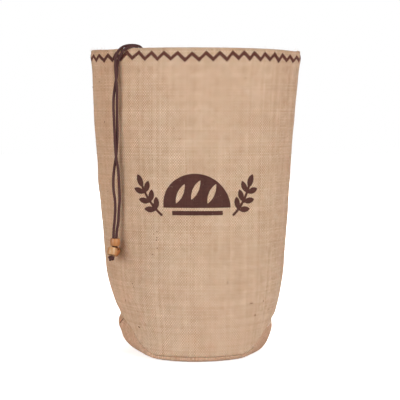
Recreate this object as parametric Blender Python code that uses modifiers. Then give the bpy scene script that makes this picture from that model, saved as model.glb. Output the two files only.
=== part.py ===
"""A hessian bread bag: a tall cloth tube sewn to an oval base, standing open with its drawcord hung outside.

Metres, +Z up. The bag stands on z = 0, its front faces -Y and its middle is on the Z axis.
"""

import math

import bmesh
import bpy
import numpy as np
from mathutils import Matrix

# Driving dimensions
HEIGHT = 0.370
CLOTH = 0.0015
HEM_DEPTH = 0.022
HEM_GAP = 0.0004
SEAM_ALLOWANCE = 0.006
CORD_DIAMETER = 0.0031
BEAD_DIAMETER = 0.012
BEAD_LENGTH = 0.0092
TOUCH_GAP = 0.0003

# The wall's plan at each height, as half-widths from the Z axis to its outer face
SECTION_COLUMNS = ("height", "left", "right", "front", "back")
SECTIONS = (
    (0.000, 0.0912, 0.0948, 0.0945, 0.0950),
    (0.020, 0.0891, 0.0921, 0.0965, 0.0965),
    (0.034, 0.0892, 0.0946, 0.0975, 0.0975),
    (0.043, 0.0932, 0.0976, 0.0980, 0.0980),
    (0.058, 0.0996, 0.1018, 0.0985, 0.0985),
    (0.083, 0.1081, 0.1067, 0.0985, 0.0980),
    (0.133, 0.1147, 0.1115, 0.0960, 0.0955),
    (0.208, 0.1204, 0.1163, 0.0930, 0.0925),
    (0.283, 0.1257, 0.1218, 0.0900, 0.0900),
    (0.345, 0.1286, 0.1271, 0.0885, 0.0880),
    (HEIGHT, 0.1307, 0.1306, 0.0880, 0.0870),
)

# The rim rises a little to the left, and its edge is slightly wavy (rise is up)
RIM_TILT = 0.0009
RIM_COLUMNS = ("angle", "half_angle", "rise")
RIM_RISES = (
    (218, 16, -0.0010),
    (298, 22, 0.0006),
    (338, 10, -0.0005),
    (40, 18, 0.0005),
    (95, 20, -0.0005),
    (150, 16, 0.0004),
)

# The base seam lies low along the front and back and climbs at each side (1 is right, -1 is left),
# between these angles from that side
SEAM_LOW = 0.0065
SEAM_COLUMNS = ("side", "rise", "low_angle", "high_angle")
SEAM_RISES = (
    (1, 0.0285, 52.0, 8.0),
    (-1, 0.0375, 60.0, 4.0),
)

# Each cloth rolls inward to the seam, through a middle point at these shares of the roll
SEAM_ROLL = 0.0015
ROLL_END_IN = 0.8
ROLL_MIDDLE_IN = 0.2
ROLL_MIDDLE_UP = 0.35

# The flat oval that rests on the ground, and how far the base bulges past its seam at each side
CONTACT = {"left": 0.0637, "right": 0.0722, "front": 0.084, "back": 0.083}
EAR_BULGE = {"left": 0.0078, "right": -0.0002}

# How far the base's curve first runs along the ground, and how late it turns upright, as shares of its size
BASE_RUN = 0.8
BASE_RISE = 0.6

# Soft dents (inward) and ridges (negative depth) of the standing cloth, angles from +X towards +Y
DENT_COLUMNS = ("angle", "height", "half_angle", "half_height", "depth")
DENTS = (
    (248, 0.064, 9, 0.011, 0.0022),
    (251, 0.043, 7, 0.012, 0.0018),
    (267, 0.032, 13, 0.008, 0.0018),
    (233, 0.040, 10, 0.020, -0.0016),
    (312, 0.150, 11, 0.110, -0.0018),
    (331, 0.200, 10, 0.120, 0.0012),
    (212, 0.230, 11, 0.100, 0.0010),
    (282, 0.120, 15, 0.070, -0.0008),
    (70, 0.110, 13, 0.060, 0.0020),
    (112, 0.240, 14, 0.090, 0.0014),
    (92, 0.045, 12, 0.016, 0.0018),
    (20, 0.160, 12, 0.090, -0.0010),
    (158, 0.130, 12, 0.080, 0.0012),
)

# How finely the cloth is divided, around and up the wall
AROUND = 80
WALL_STEPS = (0.022, 0.046, 0.075, 0.108, 0.148, 0.20, 0.27, 0.36, 0.47, 0.59, 0.71, 0.82, 0.91)
HEM_STEPS = (0.15, 0.55, 1.0)
FOLD_ANGLES = (30, 70, 110, 150)
BASE_STEPS = (0.12, 0.25, 0.39, 0.53, 0.67, 0.80, 0.91)
SHARP_ANGLE = 50

# Each strand's route from the hem over the rim and down to its knot
LEFT_STRAND = (
    (-0.0568, -0.0735, 0.3551),
    (-0.0573, -0.0723, 0.3573),
    (-0.0583, -0.0710, 0.3601),
    (-0.0603, -0.0690, 0.3645),
    (-0.0629, -0.0672, 0.3690),
    (-0.0662, -0.0662, 0.3724),
    (-0.0705, -0.0666, 0.3737),
    (-0.0764, -0.0674, 0.3740),
    (-0.0815, -0.0680, 0.3734),
    (-0.0857, -0.0678, 0.3720),
    (-0.0890, -0.0676, 0.3697),
    (-0.0916, -0.0674, 0.3668),
    (-0.0937, -0.0673, 0.3621),
    (-0.0950, -0.0674, 0.3531),
    (-0.0942, -0.0680, 0.3366),
    (-0.0932, -0.0682, 0.3225),
    (-0.0933, -0.0678, 0.3096),
    (-0.0933, -0.0667, 0.2871),
    (-0.0931, -0.0658, 0.2729),
    (-0.0936, -0.0650, 0.2563),
    (-0.0949, -0.0652, 0.2426),
    (-0.0972, -0.0659, 0.2267),
    (-0.0982, -0.0664, 0.2113),
    (-0.0978, -0.0669, 0.2028),
    (-0.0962, -0.0674, 0.1903),
    (-0.0959, -0.0678, 0.1796),
    (-0.0967, -0.0682, 0.1670),
    (-0.0977, -0.0686, 0.1551),
    (-0.0981, -0.0690, 0.1474),
    (-0.0981, -0.0694, 0.1434),
    (-0.0980, -0.0696, 0.1396),
    (-0.0979, -0.0702, 0.1371),
    (-0.0981, -0.0716, 0.1347),
    (-0.0986, -0.0735, 0.1328),
    (-0.0991, -0.0752, 0.1303),
    (-0.0996, -0.0762, 0.1274),
    (-0.0998, -0.0766, 0.1262),
)
RIGHT_STRAND = (
    (-0.0650, -0.0702, 0.3551),
    (-0.0654, -0.0691, 0.3577),
    (-0.0659, -0.0684, 0.3607),
    (-0.0666, -0.0681, 0.3640),
    (-0.0677, -0.0683, 0.3674),
    (-0.0693, -0.0689, 0.3706),
    (-0.0707, -0.0701, 0.3723),
    (-0.0734, -0.0710, 0.3724),
    (-0.0766, -0.0716, 0.3719),
    (-0.0801, -0.0716, 0.3708),
    (-0.0832, -0.0711, 0.3690),
    (-0.0862, -0.0700, 0.3661),
    (-0.0885, -0.0683, 0.3624),
    (-0.0912, -0.0661, 0.3573),
    (-0.0931, -0.0643, 0.3503),
    (-0.0935, -0.0641, 0.3391),
    (-0.0954, -0.0650, 0.3273),
    (-0.0971, -0.0662, 0.3143),
    (-0.0975, -0.0668, 0.3013),
    (-0.0969, -0.0676, 0.2860),
    (-0.0963, -0.0684, 0.2730),
    (-0.0957, -0.0689, 0.2563),
    (-0.0945, -0.0691, 0.2422),
    (-0.0922, -0.0687, 0.2273),
    (-0.0913, -0.0682, 0.2112),
    (-0.0909, -0.0680, 0.2017),
    (-0.0907, -0.0680, 0.1904),
    (-0.0916, -0.0680, 0.1789),
    (-0.0923, -0.0681, 0.1659),
    (-0.0939, -0.0684, 0.1550),
    (-0.0946, -0.0690, 0.1474),
    (-0.0946, -0.0690, 0.1435),
    (-0.0947, -0.0687, 0.1396),
    (-0.0948, -0.0683, 0.1369),
    (-0.0949, -0.0670, 0.1346),
    (-0.0954, -0.0649, 0.1326),
    (-0.0967, -0.0632, 0.1295),
    (-0.0982, -0.0622, 0.1266),
    (-0.0988, -0.0618, 0.1255),
)
STRAND_SPACING = 1.7 * CORD_DIAMETER

# Places, tilts and bores of the wooden beads: one slides on both strands, one sits above each knot
BEAD_COLUMNS = ("name", "place", "lean_forward", "lean_right", "bore_radius", "mouth_radius")
BEADS = (
    ("bead_slider", (-0.0963, -0.0692, 0.1408), 0, 2, 0.0040, 0.0043),
    ("bead_front", (-0.0992, -0.0753, 0.1301), -18, 9, 0.0031, 0.0042),
    ("bead_back", (-0.0969, -0.0628, 0.1290), 16, 28, 0.0031, 0.0042),
)
BEAD_EDGE = 0.0013
BEAD_EDGE_ANGLES = (90, 60, 30, 0)
BEAD_BARREL = 0.0004
BEAD_SIDES = 20
BORE_LIP = 0.0012

# The stop knots: lumpy balls whose ridges wind round them
KNOT_COLUMNS = ("name", "place", "radius", "turn")
KNOTS = (
    ("knot_front", (-0.1004, -0.0778, 0.1226), 0.0034, 20),
    ("knot_back", (-0.1005, -0.0606, 0.1223), 0.0033, 75),
)
KNOT_RIDGES = 3
KNOT_WIND = 4
KNOT_RIDGE_SIZE = 0.16
KNOT_SIDES = 16
KNOT_ROWS = 10

HESSIAN = ("hessian", (0.60, 0.42, 0.27), 0.95)
CORD_YARN = ("cord_yarn", (0.070, 0.032, 0.035), 0.60)
BEAD_WOOD = ("bead_wood", (0.58, 0.31, 0.10), 0.45)


def clear_scene():
    for item in list(bpy.data.objects):
        bpy.data.objects.remove(item, do_unlink=True)


def new_collection(name):
    collection = bpy.data.collections.new(name)
    bpy.context.scene.collection.children.link(collection)
    return collection


def new_material(name, colour, roughness):
    material = bpy.data.materials.new(name)
    material.use_nodes = True
    surface = material.node_tree.nodes["Principled BSDF"]
    surface.inputs["Base Color"].default_value = (*colour, 1.0)
    surface.inputs["Roughness"].default_value = roughness
    surface.inputs["Metallic"].default_value = 0.0
    return material


def named_rows(names, rows):
    """A table's rows, each as its values by column name."""
    return [dict(zip(names, row)) for row in rows]


def smooth_read(places, values, at):
    """Read a column of values at new places, on a smooth curve through its rows."""
    slopes = np.gradient(values, places)
    row = np.clip(np.searchsorted(places, at) - 1, 0, len(places) - 2)
    step = places[row + 1] - places[row]
    part = (at - places[row]) / step
    rest = 1 - part
    return (
        values[row] * (1 + 2 * part) * rest**2
        + values[row + 1] * (3 - 2 * part) * part**2
        + slopes[row] * step * part * rest**2
        - slopes[row + 1] * step * rest * part**2
    )


def section_at(heights):
    """Left, right, front and back half-widths of the wall at these heights."""
    section = dict(zip(SECTION_COLUMNS, np.array(SECTIONS).T))
    return [smooth_read(section["height"], section[side], heights) for side in SECTION_COLUMNS[1:]]


def half_angles_from(angles, row):
    """How far round each angle lies from a row's own angle, counted in the row's half-angles."""
    return ((np.degrees(angles) - row["angle"] + 180) % 360 - 180) / row["half_angle"]


def dent_depth(angles, heights):
    """How far the dents press the wall in at each point."""
    depth = np.zeros_like(heights)
    for dent in named_rows(DENT_COLUMNS, DENTS):
        along = (heights - dent["height"]) / dent["half_height"]
        depth += dent["depth"] * np.exp(-(half_angles_from(angles, dent) ** 2) - along**2)
    return depth


def wall(angles, heights, inset, raised=0.0):
    """A ring of points on the wall, moved inward by inset and up by raised."""
    heights = np.broadcast_to(heights, angles.shape)
    left, right, front, back = section_at(heights)
    across = np.where(np.cos(angles) > 0, right, left)
    deep = np.where(np.sin(angles) < 0, front, back)
    normal = np.column_stack([deep * np.cos(angles), across * np.sin(angles)])
    normal /= np.linalg.norm(normal, axis=1)[:, None]
    plan = np.column_stack([across * np.cos(angles), deep * np.sin(angles)])
    plan -= normal * (inset + dent_depth(angles, heights))[:, None]
    return np.column_stack([plan, heights + raised])


def rim_height(angles):
    heights = HEIGHT - RIM_TILT * np.cos(angles)
    for row in named_rows(RIM_COLUMNS, RIM_RISES):
        heights += row["rise"] * np.exp(-(half_angles_from(angles, row) ** 2))
    return heights


def seam_height(angles):
    """Height of the base seam around the bag."""
    from_side = np.degrees(np.arccos(np.abs(np.cos(angles))))
    heights = np.full(angles.shape, SEAM_LOW)
    for row in named_rows(SEAM_COLUMNS, SEAM_RISES):
        part = np.clip((row["low_angle"] - from_side) / (row["low_angle"] - row["high_angle"]), 0, 1)
        climb = row["rise"] * part**2 * (3 - 2 * part)
        heights += np.where(row["side"] * np.cos(angles) > 0, climb, 0)
    return heights


def loft(name, rings, material, collection, ends):
    """Quads between rings of points. The ends are joined to each other or capped."""
    mesh = bmesh.new()
    rows = [[mesh.verts.new(point) for point in ring] for ring in rings]
    count = len(rows[0])
    pairs = list(zip(rows, rows[1:]))
    if ends == "joined":
        pairs.append((rows[-1], rows[0]))
    else:
        mesh.faces.new(list(reversed(rows[0])))
        mesh.faces.new(rows[-1])
    for lower, upper in pairs:
        for place in range(count):
            beside = (place + 1) % count
            mesh.faces.new((lower[place], lower[beside], upper[beside], upper[place]))
    return finish_mesh(name, mesh, material, collection)


def finish_mesh(name, mesh, material, collection):
    bmesh.ops.recalc_face_normals(mesh, faces=mesh.faces)
    data = bpy.data.meshes.new(name)
    mesh.to_mesh(data)
    mesh.free()
    data.materials.append(material)
    data.shade_smooth()
    data.set_sharp_from_angle(angle=math.radians(SHARP_ANGLE))
    made = bpy.data.objects.new(name, data)
    collection.objects.link(made)
    return made


def ring_angles():
    return np.linspace(0, 2 * math.pi, AROUND, endpoint=False)


def make_body(material, collection):
    """The tube: outer face, turned-in hem, inner face and the allowance turned in at the base seam."""
    angles = ring_angles()
    rim = rim_height(angles)
    seam = seam_height(angles)
    flange_under = seam + TOUCH_GAP / 2
    fold_radius = CLOTH + HEM_GAP / 2
    fold_height = rim - fold_radius
    wall_foot = seam + SEAM_ROLL
    rows = [wall_foot + (fold_height - wall_foot) * step for step in WALL_STEPS]

    rings = [wall(angles, flange_under, ROLL_END_IN * SEAM_ROLL)]
    rings.append(wall(angles, seam + ROLL_MIDDLE_UP * SEAM_ROLL, ROLL_MIDDLE_IN * SEAM_ROLL))
    rings += [wall(angles, height, 0) for height in [wall_foot, *rows, fold_height]]
    for turn in np.radians(FOLD_ANGLES):
        rings.append(
            wall(angles, fold_height, fold_radius * (1 - math.cos(turn)), fold_radius * math.sin(turn))
        )
    hem = [fold_height - step * (HEM_DEPTH - fold_radius) for step in (0, *HEM_STEPS)]
    rings += [wall(angles, height, 2 * fold_radius) for height in hem]
    rings += [wall(angles, height, CLOTH + HEM_GAP) for height in reversed(hem)]
    rings += [wall(angles, height, CLOTH) for height in [fold_height, *reversed(rows)]]
    flange_end = CLOTH + SEAM_ALLOWANCE
    rings.append(wall(angles, flange_under, CLOTH, CLOTH))
    rings.append(wall(angles, flange_under, flange_end, CLOTH))
    rings.append(wall(angles, flange_under, flange_end))
    return loft("bag_body", rings, material, collection, "joined")


def contact_ring(angles):
    """The edge of the flat oval on the ground."""
    across = np.where(np.cos(angles) > 0, CONTACT["right"], CONTACT["left"])
    deep = np.where(np.sin(angles) < 0, CONTACT["front"], CONTACT["back"])
    return np.column_stack([across * np.cos(angles), deep * np.sin(angles), np.zeros_like(angles)])


def base_curve(angles, step, inset):
    """A ring part of the way up the base's rounded side, on a curve from the ground to the seam."""
    foot = contact_ring(angles)
    top = wall(angles, seam_height(angles), 0, -SEAM_ROLL)
    reach = np.linalg.norm((top - foot)[:, :2], axis=1)
    outward = (top - foot)[:, :2] / reach[:, None]
    climb = top[:, 2]
    lift = (climb + SEAM_ROLL) / seam_height(angles).max()
    bulge = np.where(np.cos(angles) > 0, EAR_BULGE["right"], EAR_BULGE["left"]) * lift
    along = (0 * reach, BASE_RUN * reach, reach + bulge, reach)
    up = (0 * climb, 0 * climb, BASE_RISE * climb, climb)
    rest = 1 - step
    weights = (rest**3, 3 * rest**2 * step, 3 * rest * step**2, step**3)
    leads = (3 * rest**2, 6 * rest * step, 3 * step**2)
    along_here = sum(weight * value for weight, value in zip(weights, along))
    up_here = sum(weight * value for weight, value in zip(weights, up))
    along_lead = sum(lead * (b - a) for lead, a, b in zip(leads, along, along[1:]))
    up_lead = sum(lead * (b - a) for lead, a, b in zip(leads, up, up[1:]))
    size = np.hypot(along_lead, up_lead)
    along_here = along_here - inset * up_lead / size
    up_here = up_here + inset * along_lead / size
    return np.column_stack([foot[:, :2] + outward * along_here[:, None], up_here])


def make_base(material, collection):
    """The base: a flat oval with rounded sides that climb to the seam, and its own allowance turned in."""
    angles = ring_angles()
    seam = seam_height(angles)
    flange_top = -TOUCH_GAP / 2
    flange_end = CLOTH + SEAM_ALLOWANCE
    floor = contact_ring(angles) + np.array([0, 0, CLOTH])
    rings = [contact_ring(angles)]
    rings += [base_curve(angles, step, 0) for step in BASE_STEPS]
    rings.append(wall(angles, seam, 0, -SEAM_ROLL))
    rings.append(wall(angles, seam, ROLL_MIDDLE_IN * SEAM_ROLL, -ROLL_MIDDLE_UP * SEAM_ROLL))
    rings.append(wall(angles, seam, ROLL_END_IN * SEAM_ROLL, flange_top))
    rings.append(wall(angles, seam, flange_end, flange_top))
    rings.append(wall(angles, seam, flange_end, flange_top - CLOTH))
    rings.append(wall(angles, seam, CLOTH + SEAM_ROLL / 2, flange_top - CLOTH))
    rings += [base_curve(angles, step, CLOTH) for step in reversed(BASE_STEPS[:-1])]
    rings.append(floor)
    return loft("base_panel", rings, material, collection, "capped")


def smooth_route(points):
    """Evenly spaced points on a smooth curve through a strand's own points."""
    points = np.array(points)
    reach = np.concatenate([[0], np.cumsum(np.linalg.norm(np.diff(points, axis=0), axis=1))])
    count = round(reach[-1] / STRAND_SPACING)
    at = np.linspace(0, reach[-1], count + 1)
    return np.column_stack([smooth_read(reach, points[:, axis], at) for axis in range(3)])


def make_strand(name, route, material, collection):
    curve = bpy.data.curves.new(name, "CURVE")
    curve.dimensions = "3D"
    curve.bevel_depth = CORD_DIAMETER / 2
    curve.bevel_resolution = 2
    curve.use_fill_caps = True
    points = smooth_route(route)
    spline = curve.splines.new("POLY")
    spline.points.add(len(points) - 1)
    for point, place in zip(spline.points, points):
        point.co = (*place, 1)
    spline.use_smooth = True
    curve.materials.append(material)
    made = bpy.data.objects.new(name, curve)
    collection.objects.link(made)
    return made


def bead_profile(bore_radius, mouth_radius):
    """Half section of a bead, from its bore up over its rounded shoulder and down its side."""
    radius = BEAD_DIAMETER / 2
    half = BEAD_LENGTH / 2
    shoulder = radius - BEAD_BARREL - BEAD_EDGE
    upper = [(bore_radius, half - BORE_LIP), (mouth_radius, half)]
    for turn in np.radians(BEAD_EDGE_ANGLES):
        upper.append((shoulder + BEAD_EDGE * math.cos(turn), half - BEAD_EDGE * (1 - math.sin(turn))))
    lower = [(across, -up) for across, up in reversed(upper)]
    return [*upper, (radius, 0.0), *lower]


def make_bead(bead, material, collection):
    """A turned barrel bead, bored along its axis."""
    mesh = bmesh.new()
    profile = bead_profile(bead["bore_radius"], bead["mouth_radius"])
    verts = [mesh.verts.new((across, 0, up)) for across, up in profile]
    for upper, lower in zip(verts, verts[1:]):
        mesh.edges.new((upper, lower))
    mesh.edges.new((verts[-1], verts[0]))
    data = bpy.data.meshes.new(bead["name"])
    mesh.to_mesh(data)
    mesh.free()
    data.materials.append(material)
    made = bpy.data.objects.new(bead["name"], data)
    screw = made.modifiers.new("turn", "SCREW")
    screw.steps = BEAD_SIDES
    screw.render_steps = BEAD_SIDES
    screw.use_merge_vertices = True
    screw.merge_threshold = 0.00002
    screw.use_smooth_shade = True
    made.location = bead["place"]
    made.rotation_euler = (math.radians(bead["lean_forward"]), math.radians(bead["lean_right"]), 0)
    collection.objects.link(made)
    return made


def make_knot(knot, material, collection):
    """A tight overhand knot as one lumpy solid."""
    mesh = bmesh.new()
    bmesh.ops.create_uvsphere(mesh, u_segments=KNOT_SIDES, v_segments=KNOT_ROWS, radius=knot["radius"])
    for vert in mesh.verts:
        around = math.atan2(vert.co.y, vert.co.x)
        height = vert.co.z / knot["radius"]
        ridge = math.cos(KNOT_RIDGES * around + KNOT_WIND * height) * (1 - height**2)
        vert.co *= 1 + KNOT_RIDGE_SIZE * ridge
    bmesh.ops.rotate(mesh, matrix=Matrix.Rotation(math.radians(knot["turn"]), 3, "Z"), verts=mesh.verts)
    made = finish_mesh(knot["name"], mesh, material, collection)
    made.location = knot["place"]
    return made


def main():
    clear_scene()
    bag = new_collection("hessian_bread_bag")
    hessian = new_material(*HESSIAN)
    cord_yarn = new_material(*CORD_YARN)
    bead_wood = new_material(*BEAD_WOOD)
    make_body(hessian, bag)
    make_base(hessian, bag)
    make_strand("cord_left", LEFT_STRAND, cord_yarn, bag)
    make_strand("cord_right", RIGHT_STRAND, cord_yarn, bag)
    for bead in named_rows(BEAD_COLUMNS, BEADS):
        make_bead(bead, bead_wood, bag)
    for knot in named_rows(KNOT_COLUMNS, KNOTS):
        make_knot(knot, cord_yarn, bag)


main()
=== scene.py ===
"""Looks of the hessian bread bag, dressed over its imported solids. Metres, +Z up, the front faces -Y."""

import math

import bpy
import numpy as np
from mathutils import Euler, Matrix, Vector


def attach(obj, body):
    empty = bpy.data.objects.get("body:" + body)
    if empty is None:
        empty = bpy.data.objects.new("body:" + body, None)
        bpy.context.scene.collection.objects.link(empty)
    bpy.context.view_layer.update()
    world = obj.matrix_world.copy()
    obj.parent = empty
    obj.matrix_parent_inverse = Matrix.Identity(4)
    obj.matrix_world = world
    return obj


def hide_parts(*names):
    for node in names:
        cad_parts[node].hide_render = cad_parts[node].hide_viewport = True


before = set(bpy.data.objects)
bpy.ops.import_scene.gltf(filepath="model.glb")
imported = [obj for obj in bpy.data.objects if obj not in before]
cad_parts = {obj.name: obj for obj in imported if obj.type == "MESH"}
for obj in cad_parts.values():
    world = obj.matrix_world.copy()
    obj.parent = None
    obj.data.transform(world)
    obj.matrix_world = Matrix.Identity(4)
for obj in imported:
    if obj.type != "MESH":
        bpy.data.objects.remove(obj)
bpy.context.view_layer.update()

# The camera of the photo
CAMERA_PLACE = (0.0050, -1.5, 0.295)
CAMERA_PITCH = -4.155
CAMERA_LENS = 108.6

# The bag's own sizes, as in its source
HEIGHT = 0.370
CLOTH = 0.0015
HEM_DEPTH = 0.022
HEM_GAP = 0.0004
SEAM_ALLOWANCE = 0.006
CORD_DIAMETER = 0.0031
BEAD_DIAMETER = 0.012
BEAD_LENGTH = 0.0092
TOUCH_GAP = 0.0003

SECTION_COLUMNS = ("height", "left", "right", "front", "back")
SECTIONS = (
    (0.000, 0.0912, 0.0948, 0.0945, 0.0950),
    (0.020, 0.0891, 0.0921, 0.0965, 0.0965),
    (0.034, 0.0892, 0.0946, 0.0975, 0.0975),
    (0.043, 0.0932, 0.0976, 0.0980, 0.0980),
    (0.058, 0.0996, 0.1018, 0.0985, 0.0985),
    (0.083, 0.1081, 0.1067, 0.0985, 0.0980),
    (0.133, 0.1147, 0.1115, 0.0960, 0.0955),
    (0.208, 0.1204, 0.1163, 0.0930, 0.0925),
    (0.283, 0.1257, 0.1218, 0.0900, 0.0900),
    (0.345, 0.1286, 0.1271, 0.0885, 0.0880),
    (HEIGHT, 0.1307, 0.1306, 0.0880, 0.0870),
)
RIM_TILT = 0.0009
# Angle, half angle, rise
RIM_RISES = (
    (218, 16, -0.0010), (298, 22, 0.0006), (338, 10, -0.0005),
    (40, 18, 0.0005), (95, 20, -0.0005), (150, 16, 0.0004),
    (232, 7, 0.0005), (266, 22, 0.0004), (353, 9, 0.0011),
)
SEAM_LOW = 0.0065
# Side, rise, then the angles from the side at which the seam is low again and fully up
SEAM_RISES = (
    (1, 0.0293, 54.0, 14.0),
    (-1, 0.0389, 60.0, 8.0),
)
SEAM_ROLL = 0.0015
SEAM_GROOVE = 0.0005
CONTACT = {"left": 0.0637, "right": 0.0722, "front": 0.084, "back": 0.083}
EAR_BULGE = {"left": 0.0078, "right": -0.0002}
BASE_RUN = 0.8
BASE_RISE = 0.6
# Angle, height, half angle, half height, depth
DENTS = (
    (248, 0.064, 9, 0.011, 0.0022), (251, 0.043, 7, 0.012, 0.0018), (267, 0.032, 13, 0.008, 0.0018),
    (233, 0.040, 10, 0.020, -0.0016), (312, 0.150, 11, 0.110, -0.0018), (331, 0.200, 10, 0.120, 0.0012),
    (212, 0.230, 11, 0.100, 0.0010), (282, 0.120, 15, 0.070, -0.0008), (70, 0.110, 13, 0.060, 0.0020),
    (112, 0.240, 14, 0.090, 0.0014), (92, 0.045, 12, 0.016, 0.0018), (20, 0.160, 12, 0.090, -0.0010),
    (158, 0.130, 12, 0.080, 0.0012),
)
# Smaller folds than the solids hold: on the body's sides and on the base's two corners
SMALL_DENTS = (
    (187, 0.208, 14, 0.015, -0.0010), (187, 0.150, 14, 0.020, 0.0010), (187, 0.0500, 14, 0.006, 0.0010),
    (353, 0.0400, 14, 0.0045, 0.0021), (353, 0.262, 14, 0.030, 0.0006),
)
BASE_DENTS = (
    (188, 0.0370, 25, 0.007, -0.0010), (195, 0.0235, 20, 0.0055, 0.0014), (215, 0.0100, 16, 0.008, 0.0009),
    (336, 0.0120, 20, 0.007, 0.0010), (350, 0.0285, 16, 0.005, -0.0008), (318, 0.0050, 14, 0.006, 0.0010),
)

# How the free strands run, in mm, from the hem over the rim down to their knots
LEFT_STRAND = np.array((
    (-56.8, -73.5, 355.1), (-57.3, -72.3, 357.3), (-58.3, -71.0, 360.1), (-60.3, -69.0, 364.5),
    (-62.9, -67.2, 369.0), (-66.2, -66.2, 372.4), (-70.5, -66.6, 373.7), (-76.4, -67.4, 374.0),
    (-81.5, -68.0, 373.4), (-85.7, -67.8, 372.0), (-89.0, -67.6, 369.7), (-91.6, -67.4, 366.8),
    (-93.7, -67.3, 362.1), (-95.0, -67.4, 353.1), (-94.2, -68.0, 336.6), (-93.2, -68.2, 322.5),
    (-93.3, -67.8, 309.6), (-93.3, -66.7, 287.1), (-93.1, -65.8, 272.9), (-93.6, -65.0, 256.3),
    (-94.9, -65.2, 242.6), (-97.2, -65.9, 226.7), (-98.2, -66.4, 211.3), (-97.8, -66.9, 202.8),
    (-96.2, -67.4, 190.3), (-95.9, -67.8, 179.6), (-96.7, -68.2, 167.0), (-97.7, -68.6, 155.1),
    (-98.1, -69.0, 147.4), (-98.1, -69.4, 143.4), (-98.0, -69.6, 139.6), (-97.9, -70.2, 137.1),
    (-98.1, -71.6, 134.7), (-98.6, -73.5, 132.8), (-99.1, -75.2, 130.3), (-99.6, -76.2, 127.4),
    (-99.8, -76.6, 126.2),
)) / 1000
RIGHT_STRAND = np.array((
    (-65.0, -70.2, 355.1), (-65.4, -69.1, 357.7), (-65.9, -68.4, 360.7), (-66.6, -68.1, 364.0),
    (-67.7, -68.3, 367.4), (-69.3, -68.9, 370.6), (-70.7, -70.1, 372.3), (-73.4, -71.0, 372.4),
    (-76.6, -71.6, 371.9), (-80.1, -71.6, 370.8), (-83.2, -71.1, 369.0), (-86.2, -70.0, 366.1),
    (-88.5, -68.3, 362.4), (-91.2, -66.1, 357.3), (-93.1, -64.3, 350.3), (-93.5, -64.1, 339.1),
    (-95.4, -65.0, 327.3), (-97.1, -66.2, 314.3), (-97.5, -66.8, 301.3), (-96.9, -67.6, 286.0),
    (-96.3, -68.4, 273.0), (-95.7, -68.9, 256.3), (-94.5, -69.1, 242.2), (-92.2, -68.7, 227.3),
    (-91.3, -68.2, 211.2), (-90.9, -68.0, 201.7), (-90.7, -68.0, 190.4), (-91.6, -68.0, 178.9),
    (-92.3, -68.1, 165.9), (-93.9, -68.4, 155.0), (-94.6, -69.0, 147.4), (-94.6, -69.0, 143.5),
    (-94.7, -68.7, 139.6), (-94.8, -68.3, 136.9), (-94.9, -67.0, 134.6), (-95.4, -64.9, 132.6),
    (-96.7, -63.2, 129.5), (-98.2, -62.2, 126.6), (-98.8, -61.8, 125.5),
)) / 1000
CORD_STEP = 0.0007
CORD_SIDES = 14
PLY_TURN = 0.0105

# Name, place, lean forward and right, radii of the bore and of its mouth
BEADS = (
    ("bead_slider", (-0.0963, -0.0692, 0.1408), 0, 2, 0.0040, 0.0043),
    ("bead_front", (-0.0992, -0.0753, 0.1301), -18, 9, 0.0031, 0.0042),
    ("bead_back", (-0.0969, -0.0628, 0.1290), 16, 28, 0.0031, 0.0042),
)
BEAD_EDGE = 0.0012
BEAD_BARREL = 0.0004
BEAD_SIDES = 56
# Name, place, radius, turn
KNOTS = (
    ("knot_front", (-0.1004, -0.0778, 0.1226), 0.0034, 20),
    ("knot_back", (-0.1005, -0.0606, 0.1223), 0.0033, 75),
)
KNOT_CORD_RADIUS = 0.0013
KNOT_CORD_SIDES = 12
KNOT_STRETCH = (1.2, 1.35, 1.2)
KNOT_LEAN = 62
KNOT_DROP = 0.0003

# How finely the dressed cloth is divided: usual spacing, and the finer spacing of the print and the back seam
COLUMN_STEP = 0.0030
ROW_STEP = 0.0028
PRINT_STEP = 0.0010
SEAM_STEP = 0.0005
BACK_ANGLE = math.radians(90)
GROOVE_RADIUS = 0.089
INNER_ROWS = 56
HEM_ROWS = 8

# The print's middle and half size, and how many yarns go round the tube
PRINT_ANGLE = math.radians(270.2)
PRINT_HEIGHT = 0.1990
PRINT_HALF = (0.080, 0.0275)
YARN = 0.00178
YARNS_ROUND = 444

# The zigzag's outer tips over the front, as angle and depth under the rim in mm, from left to right: low, high, low...
ZIGZAG_FRONT = (
    (189.9, 14.9), (196.9, 4.9), (201.8, 15.0), (206.3, 4.9), (211.9, 15.4), (216.0, 4.5), (220.2, 15.0),
    (223.2, 3.8), (227.0, 14.7), (231.7, 3.3), (234.9, 14.2), (239.3, 3.2), (242.7, 15.1), (246.7, 3.8),
    (249.9, 15.4), (253.5, 4.1), (257.1, 15.3), (260.7, 4.4), (264.5, 16.9), (268.1, 5.1), (271.8, 16.4),
    (275.4, 4.3), (279.2, 15.9), (282.5, 4.1), (286.5, 16.1), (289.4, 3.5), (292.9, 14.2), (295.8, 3.2),
    (299.5, 14.7), (301.9, 3.7), (306.4, 15.2), (308.9, 4.0), (312.9, 14.6), (316.0, 3.8), (319.9, 15.6),
    (322.7, 4.1), (327.8, 14.4), (331.3, 4.6), (336.3, 14.5), (341.5, 4.8), (348.5, 14.3),
)
ZIGZAG_PITCH = 0.0178
ZIGZAG_HIGH = 4.1
ZIGZAG_LOW = 15.0
FALLING_WIDTH = 0.0046
RISING_WIDTH = 0.0040
LONGEST_HALF_STITCH = 0.0037
THREAD_STEP = 0.00046
THREAD_RADIUS = 0.00026
THREAD_SUNK = 0.00012
THREAD_LIFT = 0.00030
LENGTH_SPREAD = 0.035
DROP_SPREAD = 0.00006
LEAN_SPREAD = 0.00008
ZIGZAG_MIDDLE = 0.010
CENTRE_FROM_TIP = 0.0022
THREAD_ROWS = 6
THREAD_SIDES = 5
# Strand coordinates of short threads: how far apart two threads' are, and the step along a satin stitch or another
THREAD_SHIFT = 0.0131
SATIN_ROW = 0.0008
STITCH_ROW = 0.0004

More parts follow.
